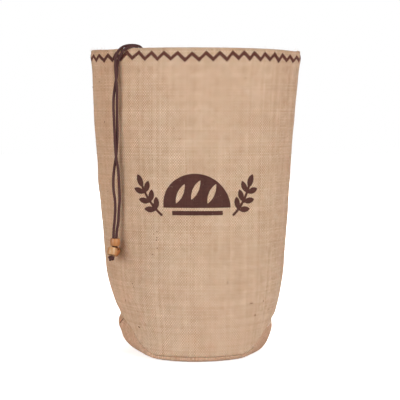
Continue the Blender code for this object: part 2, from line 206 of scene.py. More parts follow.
# Bits of dark bark in the yarns of the front and side, as angle, height, length and width in mm, and tilt; and how
# many more lie anywhere
FLECKS = (
    (309.1, 0.0684, 6.0, 1.2, 3), (320.8, 0.0689, 1.6, 1.6, 0), (314.2, 0.0532, 2.2, 1.9, 0),
    (221.7, 0.0378, 3.8, 1.9, -12), (247.0, 0.155, 1.4, 1.2, 0), (246.8, 0.148, 1.6, 1.3, 0),
    (246.5, 0.145, 1.8, 1.4, 0), (246.8, 0.1355, 1.8, 1.2, 20), (243.5, 0.128, 1.6, 1.2, 0),
    (226.6, 0.0911, 1.2, 1.2, 0), (227.0, 0.0872, 1.0, 1.2, 0), (290.1, 0.095, 4.0, 0.6, 90),
    (297.6, 0.3352, 4.5, 0.6, 0),
)
FLECK_COUNT = 130
FLECK_HEIGHTS = (0.045, 0.355)
FLECK_THICKNESS = 0.00034

# A dark thread painted as the shade of the pinched crease on the left side of the base, as angle and step up its
# curve, and a pale thread painted as the highlight along the seam's right end
EAR_CREASE_SHADE = ((196.4, 1.0), (193.8, 0.87))
CREASE_SHADE_RADIUS = 0.00055
SEAM_HIGHLIGHT_ANGLES = (352, 338)
SEAM_HIGHLIGHT_RADIUS = 0.00042

# The buttonhole inside the hem that lets both strands out
SLIT_ANGLE = 239.7
SLIT_HEIGHT = 0.3551
SLIT_HALF = (0.0062, 0.0021)
SLIT_STITCHES = 72
SLIT_STITCH = 0.0019
SLIT_THREAD_RADIUS = 0.00024

# The back seam's pressed edges: section across and off the wall in mm, and how high they reach
ALLOWANCE_SECTION = ((0.5, 0), (5, 0), (9, 0), (9.3, 0.5), (9, 1.0), (5, 1.1), (0.5, 1.0), (0.3, 0.5))
ALLOWANCE_REACH = (0.012, HEIGHT - 0.023)
ALLOWANCE_ROWS = 60
BACK_RADIUS = 0.127

# Loose hairs: how many, their radii and shortest and longest lengths, and the heights of those on the wall
HAIR_ROWS = 6
HAIR_SIDES = 3
RIM_HAIRS = 520
RIM_HAIR_RADIUS = 0.00006
RIM_HAIR_LENGTHS = (0.0008, 0.006)
WALL_HAIRS = 1700
WALL_HAIR_RADIUS = 0.00005
WALL_HAIR_LENGTHS = (0.0006, 0.005)
WALL_HAIR_HEIGHTS = (0.05, 0.365)

# The floor's rings, how deep it and the disc under it lie, and from where to where it turns white
FLOOR_RADII = (0.3, 0.8, 2.0, 7.0)
FLOOR_HEIGHT = -0.0002
BOUNCE_HEIGHT = -0.0004
WHITENING = (0.06, 0.36)
SURROUND_RADIUS = 7.5
LIGHT_AIM = Vector((0, 0, 0.19))
LIGHT_DISTANCE = 3.5
# Name, azimuth, elevation, size, power, colour
LIGHTS = (
    ("key_left", -52, 9, 2.9, 89, (1.0, 0.972, 0.945)),
    ("soft_right", 41, 22, 2.0, 88, (1.0, 0.945, 0.900)),
    ("soft_back", 168, 24, 2.4, 70, (1.0, 0.99, 0.975)),
)
WORLD_COLOUR = (1.0, 0.70, 0.54, 1)
WORLD_STRENGTH = 0.13

rng = np.random.default_rng(11)


def smooth_read(places, values, at):
    """Read a column of values at new places, on a smooth curve through its rows."""
    slopes = np.gradient(values, places)
    row = np.clip(np.searchsorted(places, at) - 1, 0, len(places) - 2)
    step = places[row + 1] - places[row]
    part = (at - places[row]) / step
    rest = 1 - part
    return (
        values[row] * (1 + 2 * part) * rest**2
        + values[row + 1] * (3 - 2 * part) * part**2
        + slopes[row] * step * part * rest**2
        - slopes[row + 1] * step * rest * part**2
    )


def smooth_step(low, high, at):
    part = np.clip((at - low) / (high - low), 0, 1)
    return part**2 * (3 - 2 * part)


def section_at(heights):
    section = dict(zip(SECTION_COLUMNS, np.array(SECTIONS).T))
    return [smooth_read(section["height"], section[side], heights) for side in SECTION_COLUMNS[1:]]


def dent_depth(angles, heights, dents):
    depth = np.zeros_like(heights)
    for angle, height, half_angle, half_height, deep in dents:
        along = (heights - height) / half_height
        depth += deep * np.exp(-(half_angles_from(angles, angle, half_angle) ** 2) - along**2)
    return depth


def cloth_relief(angles, heights):
    """Small unevenness of real cloth, as depth inward: the hem's doubled edge, puckers at the seams and soft waves."""
    rim = rim_height(angles)
    seam = seam_height(angles)
    below = rim - heights
    # The doubled hem stands out at the front and back and is drawn in at both sides
    at_side = np.abs(np.cos(angles)) ** 6
    hem = -0.00035 * smooth_step(0.0262, 0.0226, below) * (1 - at_side)
    top_pull = np.where(np.cos(angles) > 0, 0.0015, 0.0009) * smooth_step(0.010, 0.002, below)
    hem = hem + (0.0004 * smooth_step(0.040, 0.024, below) + top_pull) * at_side
    # A groove along the back seam, puckers beside the base seam and the hem's edge, and waves
    from_back = np.abs((angles - BACK_ANGLE + math.pi) % (2 * math.pi) - math.pi) * GROOVE_RADIUS
    groove = 0.0009 * np.exp(-((from_back / 0.0013) ** 2))
    pucker = 0.00028 * np.sin(angles * 71 + 2 * np.sin(angles * 5)) * np.exp(-np.abs(heights - seam) / 0.006)
    hem_pucker = 0.00015 * np.sin(angles * 39 + np.sin(angles * 4)) * np.exp(-(((rim - heights) - 0.019) / 0.008) ** 2)
    waves = 0.00022 * np.sin(angles * 9 + 14 * heights) * np.sin(heights * 61 + 2 * np.sin(angles * 3))
    waves = waves + 0.00014 * np.sin(angles * 23 + 31 * heights) * np.sin(heights * 140 + 3 * np.cos(angles * 5))
    return hem + groove + pucker + hem_pucker + waves


def wall(angles, heights, inset, raised=0.0):
    """A ring of points on the wall, moved inward by inset and up by raised."""
    heights = np.broadcast_to(heights, angles.shape)
    left, right, front, back = section_at(heights)
    across = np.where(np.cos(angles) > 0, right, left)
    deep = np.where(np.sin(angles) < 0, front, back)
    normal = np.column_stack([deep * np.cos(angles), across * np.sin(angles)])
    normal /= np.linalg.norm(normal, axis=1)[:, None]
    plan = np.column_stack([across * np.cos(angles), deep * np.sin(angles)])
    dent = dent_depth(angles, heights, DENTS + SMALL_DENTS)
    plan -= normal * (inset + dent + cloth_relief(angles, heights))[:, None]
    return np.column_stack([plan, heights + raised])


def outward(angles, heights):
    """The wall's direction outward, level, at each angle."""
    return wall(angles, heights, -1.0) - wall(angles, heights, 0.0)


def half_angles_from(angles, angle, half_angle):
    """How far round each angle lies from another, counted in half-angles."""
    return ((np.degrees(angles) - angle + 180) % 360 - 180) / half_angle


def rim_height(angles):
    heights = HEIGHT - RIM_TILT * np.cos(angles)
    for angle, half_angle, rise in RIM_RISES:
        heights = heights + rise * np.exp(-(half_angles_from(angles, angle, half_angle) ** 2))
    return heights


def seam_height(angles):
    from_side = np.degrees(np.arccos(np.abs(np.cos(angles))))
    heights = np.full(angles.shape, SEAM_LOW)
    for side, rise, low_angle, high_angle in SEAM_RISES:
        heights += np.where(side * np.cos(angles) > 0, rise * smooth_step(low_angle, high_angle, from_side), 0)
    return heights


def seam_groove(angles):
    """How deep the two pieces' edges roll in at the seam: less where it climbs at the sides."""
    climb = np.clip((seam_height(angles) - SEAM_LOW) / 0.02, 0, 1)
    return SEAM_GROOVE * (1 - 0.75 * climb)


def add_object(name, data):
    made = bpy.data.objects.new(name, data)
    bpy.context.scene.collection.objects.link(made)
    return made


def add_mesh(name, points, faces, material, smooth=True):
    data = bpy.data.meshes.new(name)
    data.from_pydata(np.asarray(points).tolist(), [], faces)
    data.materials.append(material)
    if smooth:
        data.shade_smooth()
    data.update()
    return add_object(name, data)


def dress(made, node=None):
    """A piece stays with the bag, and stands for a node of the solids if one is named."""
    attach(made, "root")
    if node:
        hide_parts(node)
    return made


def wrapped(rows):
    """Rows of values with each row's first value again at its end."""
    rows = np.asarray(rows)
    return np.concatenate([rows, rows[:, :1]], axis=1)


def add_skins(name, skins, material, closed=True, uv_name=None, grids=None, caps=None):
    """One mesh of skins, given as points by skin, row and column. A closed skin's last row joins its first row.

    grids has texture coordinates by skin, row and column, with the first column again at the end. caps has those
    of the two end faces of skins that are not closed, by skin, end and column.
    """
    skins = np.asarray(skins)
    count, rows, columns, _ = skins.shape
    places = np.arange(rows * columns).reshape(rows, columns)

    def corners(grid):
        above = np.roll(grid, -1, axis=0)
        if not closed:
            grid, above = grid[:-1], above[:-1]
        return np.stack([grid[:, :-1], grid[:, 1:], above[:, 1:], above[:, :-1]], axis=2)

    quads = corners(wrapped(places)).reshape(-1, 4)
    faces = []
    coordinates = []
    for number in range(count):
        start = number * rows * columns
        faces += (quads + start).tolist()
        if not closed:
            faces += [(places[0, ::-1] + start).tolist(), (places[-1] + start).tolist()]
        if uv_name:
            coordinates.append(corners(grids[number]).reshape(-1, 2))
        if uv_name and not closed:
            coordinates += [caps[number][0][::-1], caps[number][1]]
    made = add_mesh(name, skins.reshape(-1, 3), faces, material)
    if uv_name:
        layer = made.data.uv_layers.new(name=uv_name)
        layer.uv.foreach_set("vector", np.concatenate(coordinates).astype(np.float32).ravel())
    return made


def add_threads(name, skins, reach, material):
    """Thin tubes in one mesh. Their strand coordinates are reach, by tube and row, and the share of the way round."""
    skins = np.asarray(skins)
    sides = skins.shape[2]
    grids = np.stack(np.broadcast_arrays(reach[..., None], np.linspace(0, 1, sides + 1)), axis=-1)
    caps = grids[:, [0, -1], :1].repeat(sides, axis=2)
    return dress(add_skins(name, skins, material, False, "strand", grids, caps))


def full_turn(sides):
    return np.linspace(0, 2 * math.pi, sides, endpoint=False)


def circles(first, second, turns):
    """A unit circle round each line point, from its two side directions."""
    return first[:, None] * np.cos(turns)[:, None] + second[:, None] * np.sin(turns)[:, None]


def unit(vectors):
    return vectors / np.linalg.norm(vectors, axis=1)[:, None]


def make_camera():
    data = bpy.data.cameras.new("camera")
    data.sensor_width = 36
    data.lens = CAMERA_LENS
    camera = add_object("camera", data)
    camera.location = CAMERA_PLACE
    camera.rotation_euler = (math.radians(90 + CAMERA_PITCH), 0, 0)
    bpy.context.scene.camera = camera


def arithmetic(operation, swapped=False):
    """An operator of Value, which adds a math node."""

    def act(self, other):
        return self.nodes.math(operation, *((other, self) if swapped else (self, other)))

    return act


class Value:
    """A value in a material's nodes, which can be reckoned with."""

    __add__ = __radd__ = arithmetic("ADD")
    __mul__ = __rmul__ = arithmetic("MULTIPLY")
    __sub__ = arithmetic("SUBTRACT")
    __rsub__ = arithmetic("SUBTRACT", swapped=True)
    __truediv__ = arithmetic("DIVIDE")
    __mod__ = arithmetic("FLOORED_MODULO")

    def __init__(self, nodes, socket):
        self.nodes = nodes
        self.socket = socket


class Nodes:
    """One material's nodes, added with few words."""

    def __init__(self, name):
        self.material = bpy.data.materials.new(name)
        self.material.use_nodes = True
        self.tree = self.material.node_tree
        self.surface = self.tree.nodes["Principled BSDF"]

    def feed(self, socket, value):
        if isinstance(value, Value):
            self.tree.links.new(value.socket, socket)
        elif socket.type == "RGBA" and len(value) == 3:
            socket.default_value = (*value, 1.0)
        else:
            socket.default_value = value

    def add(self, kind, inputs=(), output=0, **settings):
        node = self.tree.nodes.new(kind)
        for key, value in settings.items():
            setattr(node, key, value)
        for key, value in dict(inputs).items():
            self.feed(node.inputs[key], value)
        return Value(self, node.outputs[output])

    def math(self, operation, *values):
        return self.add("ShaderNodeMath", dict(enumerate(values)), operation=operation)

    def object_place(self):
        return self.add("ShaderNodeTexCoord", output="Object")

    def uv(self, name):
        return self.add("ShaderNodeUVMap", uv_map=name)

    def split(self, vector):
        node = self.add("ShaderNodeSeparateXYZ", {0: vector}).socket.node
        return [Value(self, socket) for socket in node.outputs]

    def vector(self, x, y, z=0.0):
        return self.add("ShaderNodeCombineXYZ", {0: x, 1: y, 2: z})

    def shifted(self, vector, shift):
        return self.add("ShaderNodeVectorMath", {0: vector, 1: shift})

    def noise(self, vector, scale, detail=2.0):
        return self.add("ShaderNodeTexNoise", {"Vector": vector, "Scale": scale, "Detail": detail}, "Fac")

    def random(self, value):
        return self.add("ShaderNodeTexWhiteNoise", {"W": value}, "Value", noise_dimensions="1D")

    def between(self, value, low, high, to_low=0.0, to_high=1.0, kind="SMOOTHSTEP"):
        inputs = {"Value": value, "From Min": low, "From Max": high, "To Min": to_low, "To Max": to_high}
        return self.add("ShaderNodeMapRange", inputs, "Result", interpolation_type=kind)

    def mix(self, share, first, second, blend="MIX"):
        inputs = {0: share, 6: first, 7: second}
        return self.add("ShaderNodeMix", inputs, 2, data_type="RGBA", blend_type=blend, clamp_factor=True)

    def bump(self, height, distance, strength):
        inputs = {"Height": height, "Distance": distance, "Strength": strength}
        self.feed(self.surface.inputs["Normal"], self.add("ShaderNodeBump", inputs))

    def finish(self, colour, roughness, **sockets):
        self.feed(self.surface.inputs["Base Color"], colour)
        self.feed(self.surface.inputs["Roughness"], roughness)
        for key, value in sockets.items():
            self.feed(self.surface.inputs[key.replace("_", " ")], value)
        return self.material


def hessian_material(name, dark, light, printed):
    """Plain-woven jute: yarns over and under each other, each with its own tone, thickness and slubs."""
    n = Nodes(name)
    place = n.uv("yarns")
    shifted = n.shifted(place, (31.7, 12.9, 0.0))
    straight_u, straight_v, _ = n.split(place)
    u = (n.noise(place, 0.13) - 0.5) * 0.9 + straight_u
    v = (n.noise(shifted, 0.13) - 0.5) * 0.9 + straight_v
    warp = n.math("FLOOR", u)
    weft = n.math("FLOOR", v)
    in_warp = n.math("FRACT", u) - 0.5
    in_weft = n.math("FRACT", v) - 0.5
    warp_tone = n.random(warp)
    weft_tone = n.random(weft + 977.0)
    warp_slub = n.noise(n.vector(warp * 5.3, v * 0.16), 1.0, 1.0)
    weft_slub = n.noise(n.vector(u * 0.16, weft * 5.3, 40.0), 1.0, 1.0)
    warp_half = warp_tone * 0.08 + n.between(warp_slub, 0.3, 0.8, 0.30, 0.50)
    weft_half = weft_tone * 0.08 + n.between(weft_slub, 0.3, 0.8, 0.30, 0.50)

    def rounded(across, half):
        part = across / half
        return n.math("SQRT", n.math("MAXIMUM", 1.0 - part * part, 0.0))

    # Each yarn rises where it passes over, and the higher yarn shows
    over = 1.0 - (warp + weft) % 2.0 * 2.0
    hump = n.math("COSINE", in_warp * math.pi)
    warp_rise = over * n.math("COSINE", in_weft * math.pi)
    warp_high = rounded(in_warp, warp_half) * (warp_rise * 0.32 + 0.68)
    weft_high = rounded(in_weft, weft_half) * (over * hump * -0.32 + 0.68)
    high = n.math("MAXIMUM", warp_high, weft_high)
    is_warp = n.math("GREATER_THAN", warp_high, weft_high)

    # Tone: each yarn's fibres and own shade, then streaks along both ways, patches and a broad drift
    fibre_warp = n.noise(n.vector(u * 5.0, v * 0.5), 1.0)
    fibre_weft = n.noise(n.vector(u * 0.5, v * 5.0, 9.0), 1.0)
    own = (fibre_warp - 0.5) * 1.9 + warp_tone * 0.95
    other = (fibre_weft - 0.5) * 1.9 + weft_tone * 0.75
    yarn_tone = own * is_warp + other * (1.0 - is_warp)
    streak_up = n.noise(n.vector(u * 0.24, v * 0.020), 1.0)
    streak_along = n.noise(n.vector(u * 0.020, v * 0.24, 5.0), 1.0)
    streaks = n.noise(place, 0.85) * 0.7 + streak_along * 0.5 + streak_up
    drift = streaks * 0.50 + n.noise(place, 0.24) * 1.15 + n.noise(shifted, 0.060, 3.0) * 1.15
    tone = yarn_tone * 0.40 + drift * 0.50
    colour = n.mix(n.between(tone, 0.60, 1.43, kind="LINEAR"), dark, light)

    # Darker crossings, painted shade in the gaps between the yarns, and threads of bark
    checks = hump * warp_rise * n.between(n.noise(shifted, 0.11), 0.35, 0.65, 0.26, 0.60) + 0.5
    colour = n.mix(checks, colour, (0.595, 0.57, 0.545), "MULTIPLY")
    colour = n.mix(n.between(high, 0.05, 0.62), n.mix(0.45, dark, (0.26, 0.130, 0.065)), colour)
    bark = n.between(n.noise(n.vector(u * 0.9, v * 0.45, 3.0), 1.0, 3.0), 0.74, 0.80)
    colour = n.mix(bark * 0.55, colour, (0.30, 0.16, 0.08))

    # Painted light and shade on the cloth's places: a redder left side, a darker right side, a lighter left foot, a
    # lighter foot and a darker rim edge
    across, _, up = n.split(n.object_place())
    side = 0.080 if printed else 0.055
    painted_light_tints = (
        (n.between(across, -0.045, -0.115), (1.06, 0.965, 0.905)),
        (n.between(across, side, side + 0.040), (0.945, 0.905, 0.895)),
        (n.between(across, -0.020, -0.060) * n.between(up, 0.120, 0.060), (1.06, 1.055, 1.05)),
        (n.between(up, 0.150, 0.040), (1.045, 1.04, 1.05)),
        (n.between(up, 0.3650, 0.3695), (0.90, 0.89, 0.89)),
    )
    for share, painted_tint in painted_light_tints:
        colour = n.mix(share, colour, painted_tint, "MULTIPLY")
    if printed:
        edge = n.add("ShaderNodeAttribute", output="Fac", attribute_name="ink")
        ragged = (n.noise(place, 1.6) - 0.5) * 0.7 + edge
        cover = n.between(ragged, 0.28, -0.28) * n.between(high, -0.15, 0.45, 0.86, 0.995)
        ink = n.mix(n.between(tone, 0.4, 1.3), (0.058, 0.025, 0.022), (0.094, 0.042, 0.037))
        colour = n.mix(cover, colour, ink)
    n.bump(high + (fibre_warp + fibre_weft) * 0.12, 0.00030, 0.75)
    scatter = {"Subsurface_Weight": 0.30, "Subsurface_Scale": 0.0030, "Subsurface_Radius": (1.0, 0.40, 0.25)}
    return n.finish(colour, 0.95, Sheen_Weight=0.03, Sheen_Roughness=0.6, Specular_IOR_Level=0.10, **scatter)


def yarn_material(name, dark, light, shine, grain):
    """Dyed thread: fine strands wound along the piece, with a soft sheen."""
    n = Nodes(name)
    along, turn, _ = n.split(n.uv("strand"))
    wound = n.math("SINE", along * grain + turn * (18 * math.pi))
    fuzz = n.noise(n.vector(along * 900.0, turn * 14.0), 1.0, 3.0)
    colour = n.mix(n.between(wound * 0.18 + fuzz, 0.25, 0.85, kind="LINEAR"), dark, light)
    n.bump(wound * 0.5 + fuzz, 0.00012, 0.7)
    return n.finish(colour, shine, Sheen_Weight=0.08, Sheen_Roughness=0.45, Specular_IOR_Level=0.3)


def wood_material(name, pale, deep, seed, flank_shade):
    """Turned and lacquered wood: rings across the grain, fine pores along it and darker flanks, which are painted
    shade.
    """
    n = Nodes(name)
    place = n.object_place()
    x, y, z = n.split(place)
    bend = n.noise(n.shifted(place, (seed, seed, seed)), 160.0)
    rings = n.math("SINE", x * 1500.0 + bend * 9.0) * 0.5 + 0.5
    pores = n.noise(n.vector(x * 2600.0, y * 2600.0, z * 260.0), 1.0, 3.0)
    tone = rings * 0.14 + pores * 0.22 + n.noise(place, 130.0 + seed) * 0.62
    colour = n.mix(n.between(tone, 0.20, 0.78, kind="LINEAR"), deep, pale)
    aside = n.math("ABSOLUTE", x * (2 / BEAD_DIAMETER))
    colour = n.mix(n.between(aside, 0.35, 0.95) * flank_shade, colour, deep)
    colour = n.mix(n.between(pores, 0.36, 0.28, kind="LINEAR"), colour, tuple(0.45 * value for value in deep))
    n.bump(pores + rings * 0.3, 0.00008, 0.5)
    return n.finish(colour, n.between(tone, 0.3, 0.9, 0.36, 0.52), Coat_Weight=0.25, Coat_Roughness=0.22)


def plain_material(name, dark, light, scale, roughness, **sockets):
    """One colour with a faint mottle."""
    n = Nodes(name)
    return n.finish(n.mix(n.noise(n.object_place(), scale), dark, light), roughness, **sockets)


def matt_material(name, colour, roughness):
    dark = tuple(0.7 * value for value in colour)
    return plain_material(name, dark, colour, 900.0, roughness, Specular_IOR_Level=0.1)


def line_reach(points):
    """Distance along a line of points, from its first to each."""
    return np.concatenate([[0], np.cumsum(np.linalg.norm(np.diff(points, axis=0), axis=1))])


def round_reach(ring):
    """Distance round a ring of points, from its first to each and back to it."""
    return line_reach(np.vstack([ring, ring[:1]]))


def ring_length(angles, height):
    """Distance round the wall at this height, from the first angle to each angle and back to the first."""
    return round_reach(wall(angles, height, 0))


def graded(length, usual, ranges):
    """Places from 0 to length, spaced closely inside each (start, stop, step) range."""
    places = [0.0]
    while places[-1] < length:
        here = places[-1]
        step = usual
        for start, stop, fine in ranges:
            if start - 1e-9 <= here < stop:
                step = fine
            elif here < start < here + step:
                step = max(start - here, fine)
        places.append(here + step)
    return np.array(places) * (length / places[-1])


def column_angles():
    """Angles of the cloth's columns, from the back seam round to it again, close at the print and the seam."""
    trial = BACK_ANGLE + np.linspace(0, 2 * math.pi, 3601)[:-1]
    reach = ring_length(trial, PRINT_HEIGHT)
    total = reach[-1]
    middle = np.interp(PRINT_ANGLE, np.append(trial, trial[0] + 2 * math.pi), reach)
    ranges = (
        (0, 0.004, SEAM_STEP),
        (middle - PRINT_HALF[0] - 0.002, middle + PRINT_HALF[0] + 0.002, PRINT_STEP),
        (total - 0.004, total, SEAM_STEP),
    )
    places = graded(total, COLUMN_STEP, ranges)[:-1]
    return np.interp(places, reach, np.append(trial, trial[0] + 2 * math.pi))


def yarn_columns(ring):
    """Where each column of a ring lies on the cloth, counted in yarns round it."""
    reach = round_reach(ring)
    return reach / reach[-1] * YARNS_ROUND


def lens(across, up, place, length, width, turn):
    """Signed distance to a pointed lens, the shape of a grain."""
    cos, sin = math.cos(turn), math.sin(turn)
    along = (across - place[0]) * cos + (up - place[1]) * sin
    aside = -(across - place[0]) * sin + (up - place[1]) * cos
    half_length, half_width = length / 2, width / 2
    radius = (half_length**2 + half_width**2) / (2 * half_width)
    return np.hypot(along, np.abs(aside) + radius - half_width) - radius


def ear_curve(at):
    """A place on a wheat ear's stalk and its heading, in mm from the print's middle."""
    start, bend, tip = np.array((43.0, -24.0)), np.array((56.5, -12.5)), np.array((64.5, 8.0))
    place = (1 - at) ** 2 * start + 2 * at * (1 - at) * bend + at**2 * tip
    lead = 2 * (1 - at) * (bend - start) + 2 * at * (tip - bend)
    return place, math.atan2(lead[1], lead[0])


def print_edge(across, up):
    """Distance in mm from the print's edge, negative on ink: a scored loaf between two ears of wheat."""
    loaf = np.hypot(across / 40.0, (up + 14.0) / 38.5)
    loaf = np.maximum((loaf - 1) * 39.0, -(up + 15.5))
    for place in ((-18.5, 1.0), (0.0, 5.5), (18.5, 1.0)):
        loaf = np.maximum(loaf, -lens(across, up, place, 26.0, 6.6, math.radians(62)))
    board = np.maximum(np.abs(across) - 30.0, np.abs(up + 21.6) - 2.6)
    side = np.abs(across)
    ears = np.full_like(side, 99.0)
    for at in np.linspace(0, 1, 60):
        place, _ = ear_curve(at)
        ears = np.minimum(ears, np.hypot(side - place[0], up - place[1]) - 1.5)
    for at in (0.22, 0.52, 0.82):
        place, turn = ear_curve(at)
        for hand in (-1, 1):
            spread = turn + hand * math.radians(44)
            grain = place + 8.4 * np.array([math.cos(spread), math.sin(spread)])
            ears = np.minimum(ears, lens(side, up, grain, 14.5, 7.0, spread))
    place, turn = ear_curve(1.0)
    tip = place + 8.0 * np.array([math.cos(turn), math.sin(turn)])
    ears = np.minimum(ears, lens(side, up, tip, 17.0, 7.6, turn))
    return np.minimum(np.minimum(loaf, board), ears)


def wall_rows(rim, seam, groove):
    """Heights of the outer face's rows, close over the print."""
    fold_radius = CLOTH + HEM_GAP / 2
    top = rim - fold_radius
    foot = seam + groove + TOUCH_GAP / 2
    low = PRINT_HEIGHT - PRINT_HALF[1] - 0.001
    high = PRINT_HEIGHT + PRINT_HALF[1] + 0.001
    below = np.linspace(0, 1, round((low - SEAM_LOW) / ROW_STEP) + 1)
    above = np.linspace(0, 1, round((HEIGHT - high) / ROW_STEP) + 1)[1:]
    middle = np.arange(low, high, PRINT_STEP)[1:]
    rows = [foot + (low - foot) * part for part in below]
    rows += [np.full_like(rim, height) for height in middle]
    rows += [middle[-1] + (top - middle[-1]) * part for part in above]
    return rows


def make_body(material):
    """The tube of hessian: outer face, turned-in hem, inner face and the allowance turned in at the base seam."""
    angles = column_angles()
    rim = rim_height(angles)
    seam = seam_height(angles)
    groove = seam_groove(angles)
    under = seam + TOUCH_GAP / 2
    fold_radius = CLOTH + HEM_GAP / 2
    fold_height = rim - fold_radius
    rings = []
    heights = []

    def ring(height, inset, raised=0.0, cloth_height=None):
        rings.append(wall(angles, height, inset, raised))
        place = height if cloth_height is None else cloth_height
        heights.append(np.broadcast_to(place, angles.shape))

    ring(under, groove)
    for turn in np.radians((20, 45, 70)):
        ring(under + groove * math.sin(turn), groove * (1 - math.sin(turn)))
    for height in wall_rows(rim, seam, groove):
        ring(height, 0)
    for turn in np.radians((20, 40, 60, 80, 100, 120, 140, 160)):
        raised = fold_radius * math.sin(turn)
        ring(fold_height, fold_radius * (1 - math.cos(turn)), raised, fold_height + fold_radius * turn)
    hem = [fold_height - step * (HEM_DEPTH - fold_radius) for step in np.linspace(0, 1, HEM_ROWS)]
    for height in hem:
        ring(height, 2 * fold_radius, 0.0, 2 * rim - height)
    for height in reversed(hem):
        ring(height, CLOTH + HEM_GAP)
    for part in np.linspace(0, 1, INNER_ROWS):
        ring(fold_height + (seam + CLOTH + 0.002 - fold_height) * part, CLOTH)
    flange_end = CLOTH + SEAM_ALLOWANCE
    ring(under, CLOTH, CLOTH)
    ring(under, flange_end, CLOTH)
    ring(under, flange_end)
    grid = np.dstack([[yarn_columns(points) for points in rings], wrapped(heights) / YARN])
    made = add_skins("body_cloth", [rings], material, True, "yarns", [grid])
    mark_print(made, angles, heights)
    return dress(made, "bag_body")


def mark_print(made, angles, heights):
    """Gives each vertex its distance from the print's edge."""
    middle = ring_length(np.linspace(BACK_ANGLE, PRINT_ANGLE, 900), PRINT_HEIGHT)[-2]
    across = np.array([ring_length(angles, np.clip(height, 0, HEIGHT))[:-1] for height in heights]) - middle
    up = np.array(heights) - PRINT_HEIGHT
    edge = np.clip(print_edge(across * 1000, up * 1000), -3, 3)
    outer = len(wall_rows(rim_height(angles), seam_height(angles), 0)) + 4
    edge[outer:] = 3.0
    layer = made.data.attributes.new("ink", "FLOAT", "POINT")
    layer.data.foreach_set("value", edge.astype(np.float32).ravel())


def side_value(angles, values):
    """The value of the side, left or right, at which each angle lies."""
    return np.where(np.cos(angles) > 0, values["right"], values["left"])


def contact_ring(angles):
    deep = np.where(np.sin(angles) < 0, CONTACT["front"], CONTACT["back"])
    return np.column_stack([side_value(angles, CONTACT) * np.cos(angles), deep * np.sin(angles), 0 * angles])


def base_curve(angles, step, inset):
    """A ring part of the way up the base's rounded side, on a curve from the ground to the seam."""
    foot = contact_ring(angles)
    top = wall(angles, seam_height(angles), 0, -SEAM_ROLL)
    reach = np.linalg.norm((top - foot)[:, :2], axis=1)
    heading = (top - foot)[:, :2] / reach[:, None]
    climb = top[:, 2]
    lift = (climb + SEAM_ROLL) / seam_height(angles).max()
    bulge = side_value(angles, EAR_BULGE) * lift
    level = np.zeros_like(reach)
    bends = np.array([(level, level), (BASE_RUN * reach, level), (reach + bulge, BASE_RISE * climb), (reach, climb)])
    rest = 1 - step
    along, up = np.tensordot((rest**3, 3 * rest**2 * step, 3 * rest * step**2, step**3), bends, 1)
    along_lead, up_lead = np.tensordot((3 * rest**2, 6 * rest * step, 3 * step**2), np.diff(bends, axis=0), 1)
    size = np.hypot(along_lead, up_lead)
    along = along - inset * up_lead / size
    up = up + inset * along_lead / size
    along = along - dent_depth(angles, up, BASE_DENTS)
    return np.column_stack([foot[:, :2] + heading * along[:, None], up])


def make_base(material):
    """The oval base: flat on the ground, rounded up to the seam, with its own allowance turned in."""
    angles = column_angles()
    seam = seam_height(angles)
    groove = seam_groove(angles)
    flange_top = -TOUCH_GAP / 2
    flange_end = CLOTH + SEAM_ALLOWANCE
    steps = np.linspace(0.04, 0.95, 16)
    rings = [contact_ring(angles)]
    rings += [base_curve(angles, step, 0) for step in steps]
    rings.append(wall(angles, seam, 0, -SEAM_ROLL))
    for turn in np.radians((0, 25, 50, 72)):
        inset = groove * (1 - math.cos(turn))
        rings.append(wall(angles, seam, inset, flange_top - groove * (1 - math.sin(turn))))
    turned_in = (groove, 0), (flange_end, 0), (flange_end, CLOTH), (CLOTH + SEAM_ROLL / 2, CLOTH)
    rings += [wall(angles, seam, inset, flange_top - drop) for inset, drop in turned_in]
    rings += [base_curve(angles, step, CLOTH) for step in steps[::-1]]
    rings.append(contact_ring(angles) + np.array([0, 0, CLOTH]))
    plans = np.array(rings)[..., :2]
    heading = np.column_stack([np.cos(angles), np.sin(angles)])
    length = np.zeros(len(angles))
    flats = []
    for before, here in zip([rings[0], *rings], rings):
        sign = np.sign(np.linalg.norm(here[:, :2], axis=1) - np.linalg.norm(before[:, :2], axis=1))
        length = length + np.linalg.norm(here - before, axis=1) * np.where(sign == 0, 1, sign)
        flats.append((plans[0] + heading * length[:, None]) / YARN)
    made = add_skins("base_cloth", [rings], material, False, "yarns", [wrapped(flats)], [plans[[0, -1]] / YARN])
    return dress(made, "base_panel")


def transported(points):
    """A steady pair of side directions along a line of points."""
    leads = np.gradient(points, axis=0)
    leads /= np.linalg.norm(leads, axis=1)[:, None]
    side = np.cross(leads[0], (0.0, 0.0, 1.0) if abs(leads[0][2]) < 0.9 else (1.0, 0.0, 0.0))
    sides = []
    for lead in leads:
        side = side - lead * (side @ lead)
        side = side / np.linalg.norm(side)
        sides.append(side)
    sides = np.array(sides)
    return sides, np.cross(leads, sides)


def smooth_route(points, spacing):
    reach = line_reach(points)
    at = np.linspace(0, reach[-1], round(reach[-1] / spacing) + 1)
    return np.column_stack([smooth_read(reach, points[:, axis], at) for axis in range(3)])


def three_ply(turn, reach):
    """The lumpy section of a cord laid up from three strands."""
    return 1.07 - 0.075 * (1 - np.abs(np.cos(1.5 * (turn - 2 * math.pi * reach / PLY_TURN)))) ** 1.5


def add_cord(name, points, radius, sides, material):
    """A laid cord along points."""
    reach = line_reach(points)
    turns = full_turn(sides)
    radii = radius * three_ply(turns[None, :], reach[:, None])
    skin = points[:, None, :] + circles(*transported(points), turns) * radii[:, :, None]
    return add_threads(name, [skin], reach[None], material)


def make_cords(material):
    made = {}
    for name, route in (("cord_left", LEFT_STRAND), ("cord_right", RIGHT_STRAND)):
        points = smooth_route(route, CORD_STEP)
        piece = add_cord(name + "_twist", points, CORD_DIAMETER / 2, CORD_SIDES, material)
        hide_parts(name)
        made[name] = (piece, points)
    return made


